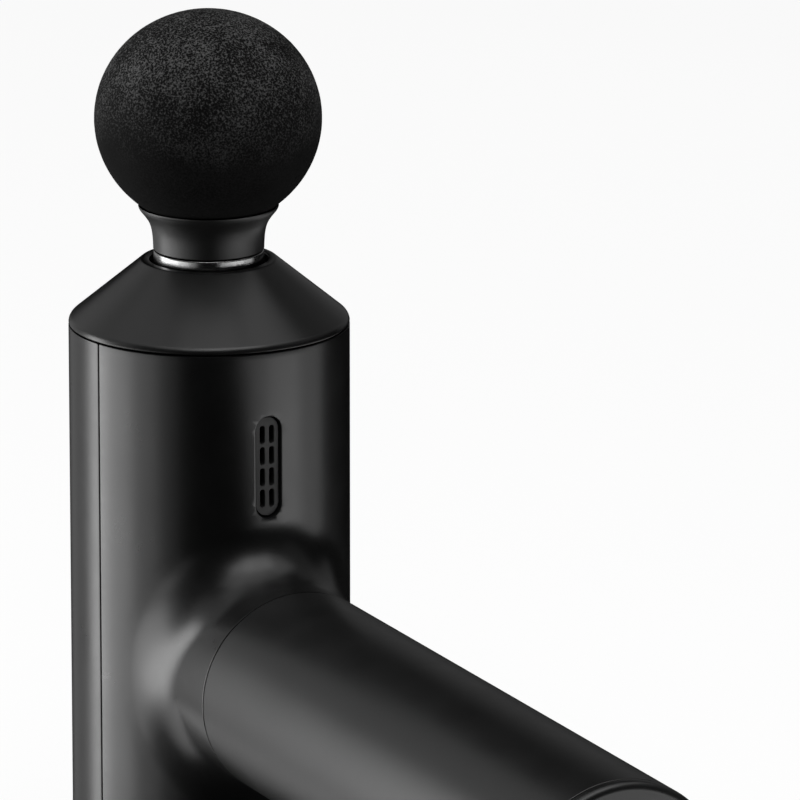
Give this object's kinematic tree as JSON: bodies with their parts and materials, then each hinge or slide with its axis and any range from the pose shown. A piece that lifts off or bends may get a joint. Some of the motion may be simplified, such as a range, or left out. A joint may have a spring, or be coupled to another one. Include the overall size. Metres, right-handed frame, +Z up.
{
  "type": "massage gun",
  "caption": "Handheld percussion massager: round barrel, foam ball head that strokes in and out, side handle with battery, side vent and tail button.",
  "frame": {"origin": "centre of the barrel's flat tail face", "axes": "+Z up the barrel to the ball head, +X along the handle to its end; left and right mirror in Y"},
  "size_m": [0.2255, 0.06, 0.1927],
  "materials": {
    "foam": "closed-cell foam, matt black with a fine grain",
    "collar_plastic": "semi-gloss black moulded plastic",
    "rubber": "matt black rubber",
    "polished_steel": "ground and polished",
    "steel": "turned",
    "cast_alloy": "die-cast, machined",
    "magnet_steel": "laminated and magnet steel, lacquered",
    "bronze": "sintered bronze",
    "satin_shell": "satin dark charcoal soft-touch coat",
    "satin_handle": "satin dark charcoal soft-touch coat, slightly greyer",
    "inner_plastic": "moulded black plastic",
    "frosted": "frosted light diffuser",
    "circuit_board": "green solder mask",
    "capacitor_sleeve": "shrink sleeve",
    "cell_can": "blue shrink sleeve on a metal can",
    "nickel": "nickel plate",
    "cable_jacket": "black insulation"
  },
  "bodies": {
    "housing": {"motor_stator": "magnet_steel", "motor_base": "cast_alloy", "front_bearing": "steel", "rear_bearing": "steel", "drive_bracket": "cast_alloy", "guide_housing": "cast_alloy", "guide_bush": "bronze", "shaft_seal": "rubber", "nose_cone": "satin_shell", "front_shell": "satin_shell", "rear_shell": "satin_shell", "vent_grille": "inner_plastic", "fan_frame": "inner_plastic", "tail_cap": "satin_shell", "light_bar": "frosted", "tact_switch": "inner_plastic", "control_board": "circuit_board", "main_board": "circuit_board", "capacitor": "capacitor_sleeve", "grip_tube": "satin_handle", "end_cap": "satin_handle", "charge_port": "nickel", "battery_board": "circuit_board", "cell_holder_front": "inner_plastic", "cell_holder_middle": "inner_plastic", "cell_holder_rear": "inner_plastic", "contact_strip_front": "nickel", "battery_lead": "cable_jacket", "control_lead": "cable_jacket", "guide_screw_1": "steel", "bracket_screw_1": "steel", "guide_screw_2": "steel", "bracket_screw_2": "steel", "guide_screw_3": "steel", "bracket_screw_3": "steel", "guide_screw_4": "steel", "bracket_screw_4": "steel", "battery_cell_1": "cell_can", "battery_cell_2": "cell_can", "battery_cell_3": "cell_can", "battery_cell_4": "cell_can", "battery_cell_5": "cell_can", "battery_cell_6": "cell_can"},
    "shaft": {"drive_shaft": "polished_steel", "wrist_pin": "steel"},
    "rod": {"connecting_rod": "cast_alloy", "rod_bearing": "steel"},
    "head": {"head_adapter": "collar_plastic", "ball_head": "foam", "o_ring_lower": "rubber", "o_ring_upper": "rubber"},
    "crank": {"crank_disc": "cast_alloy", "motor_shaft": "steel", "motor_rotor": "cast_alloy", "rotor_magnets": "magnet_steel"},
    "fan": {"fan_rotor": "inner_plastic"},
    "button": {"power_button": "collar_plastic"}
  },
  "joints": [
    {"name": "crank_spin", "type": "hinge", "parent": "housing", "child": "crank", "pos_m": [0, 0, 0.054], "axis": [1, 0, 0], "range_deg": [0, 180]},
    {"name": "head_stroke", "type": "slide", "parent": "housing", "child": "shaft", "axis": [0, 0, 1], "range_m": [0, 0.012]},
    {"name": "rod_swing", "type": "hinge", "parent": "shaft", "child": "rod", "pos_m": [0, 0, 0.103], "axis": [1, 0, 0], "range_deg": [-6.3, 6.3]},
    {"name": "head_pull", "type": "slide", "parent": "shaft", "child": "head", "axis": [0, 0, 1], "range_m": [0, 0.03]},
    {"name": "fan_spin", "type": "hinge", "parent": "housing", "child": "fan", "pos_m": [0.015, 0, 0.098], "axis": [1, 0, 0], "continuous": true},
    {"name": "power_press", "type": "slide", "parent": "housing", "child": "button", "axis": [0, 0, 1], "range_m": [0, 0.0008], "stiffness_N_per_m": 1500, "springref_m": -0.0006}
  ],
  "couplings": [
    {"joint": "crank_spin", "follows": "head_stroke", "rad_per_m": 261.79}
  ]
}
